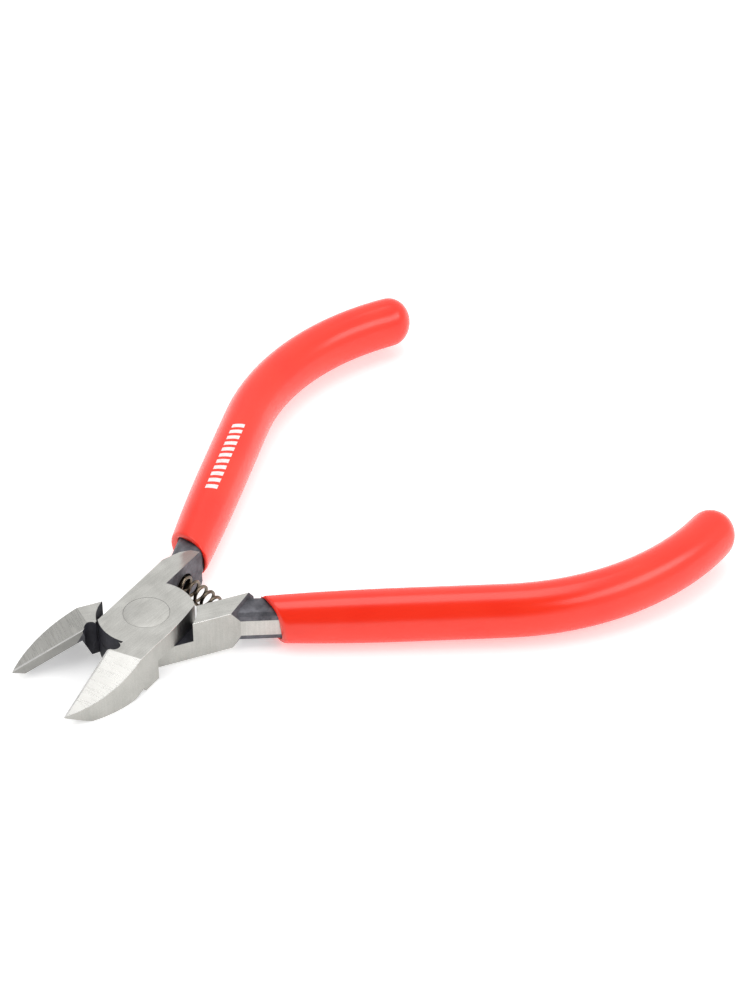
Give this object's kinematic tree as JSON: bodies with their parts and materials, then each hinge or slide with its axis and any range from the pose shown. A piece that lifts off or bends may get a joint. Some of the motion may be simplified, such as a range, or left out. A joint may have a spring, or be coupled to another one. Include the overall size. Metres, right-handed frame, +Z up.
{
  "type": "flush cutter",
  "caption": "Small sprung flush cutter: two lapped steel halves on a rivet, diagonal cutting edges, bowed dipped red grips and a coil spring between the handles.",
  "frame": {"origin": "on the pivot axis, in the flat underside of the joint", "axes": "+X from the jaws towards the handles, +Y towards the upper half's handle, +Z up out of the joint's top face; the tool lies open on its side"},
  "size_m": [0.1163, 0.0984, 0.0098],
  "materials": {
    "ground_steel": "satin ground, with black oxide left on the forged necks",
    "rivet_steel": "satin ground flush with the joint",
    "spring_steel": "drawn spring wire, bronze-grey",
    "red_vinyl": "glossy dipped vinyl"
  },
  "bodies": {
    "lower": {"lower_half": "ground_steel", "lower_grip": "red_vinyl", "pivot_rivet": "rivet_steel", "return_spring": "spring_steel"},
    "upper": {"upper_half": "ground_steel", "upper_grip": "red_vinyl"}
  },
  "joints": [
    {"name": "pivot", "type": "hinge", "parent": "lower", "child": "upper", "pos_m": [0, 0, 0], "axis": [0, 0, 1], "range_deg": [-36, 0], "stiffness_Nm_per_rad": 0.35, "springref_deg": 8.59, "deforming": ["return_spring"]}
  ]
}
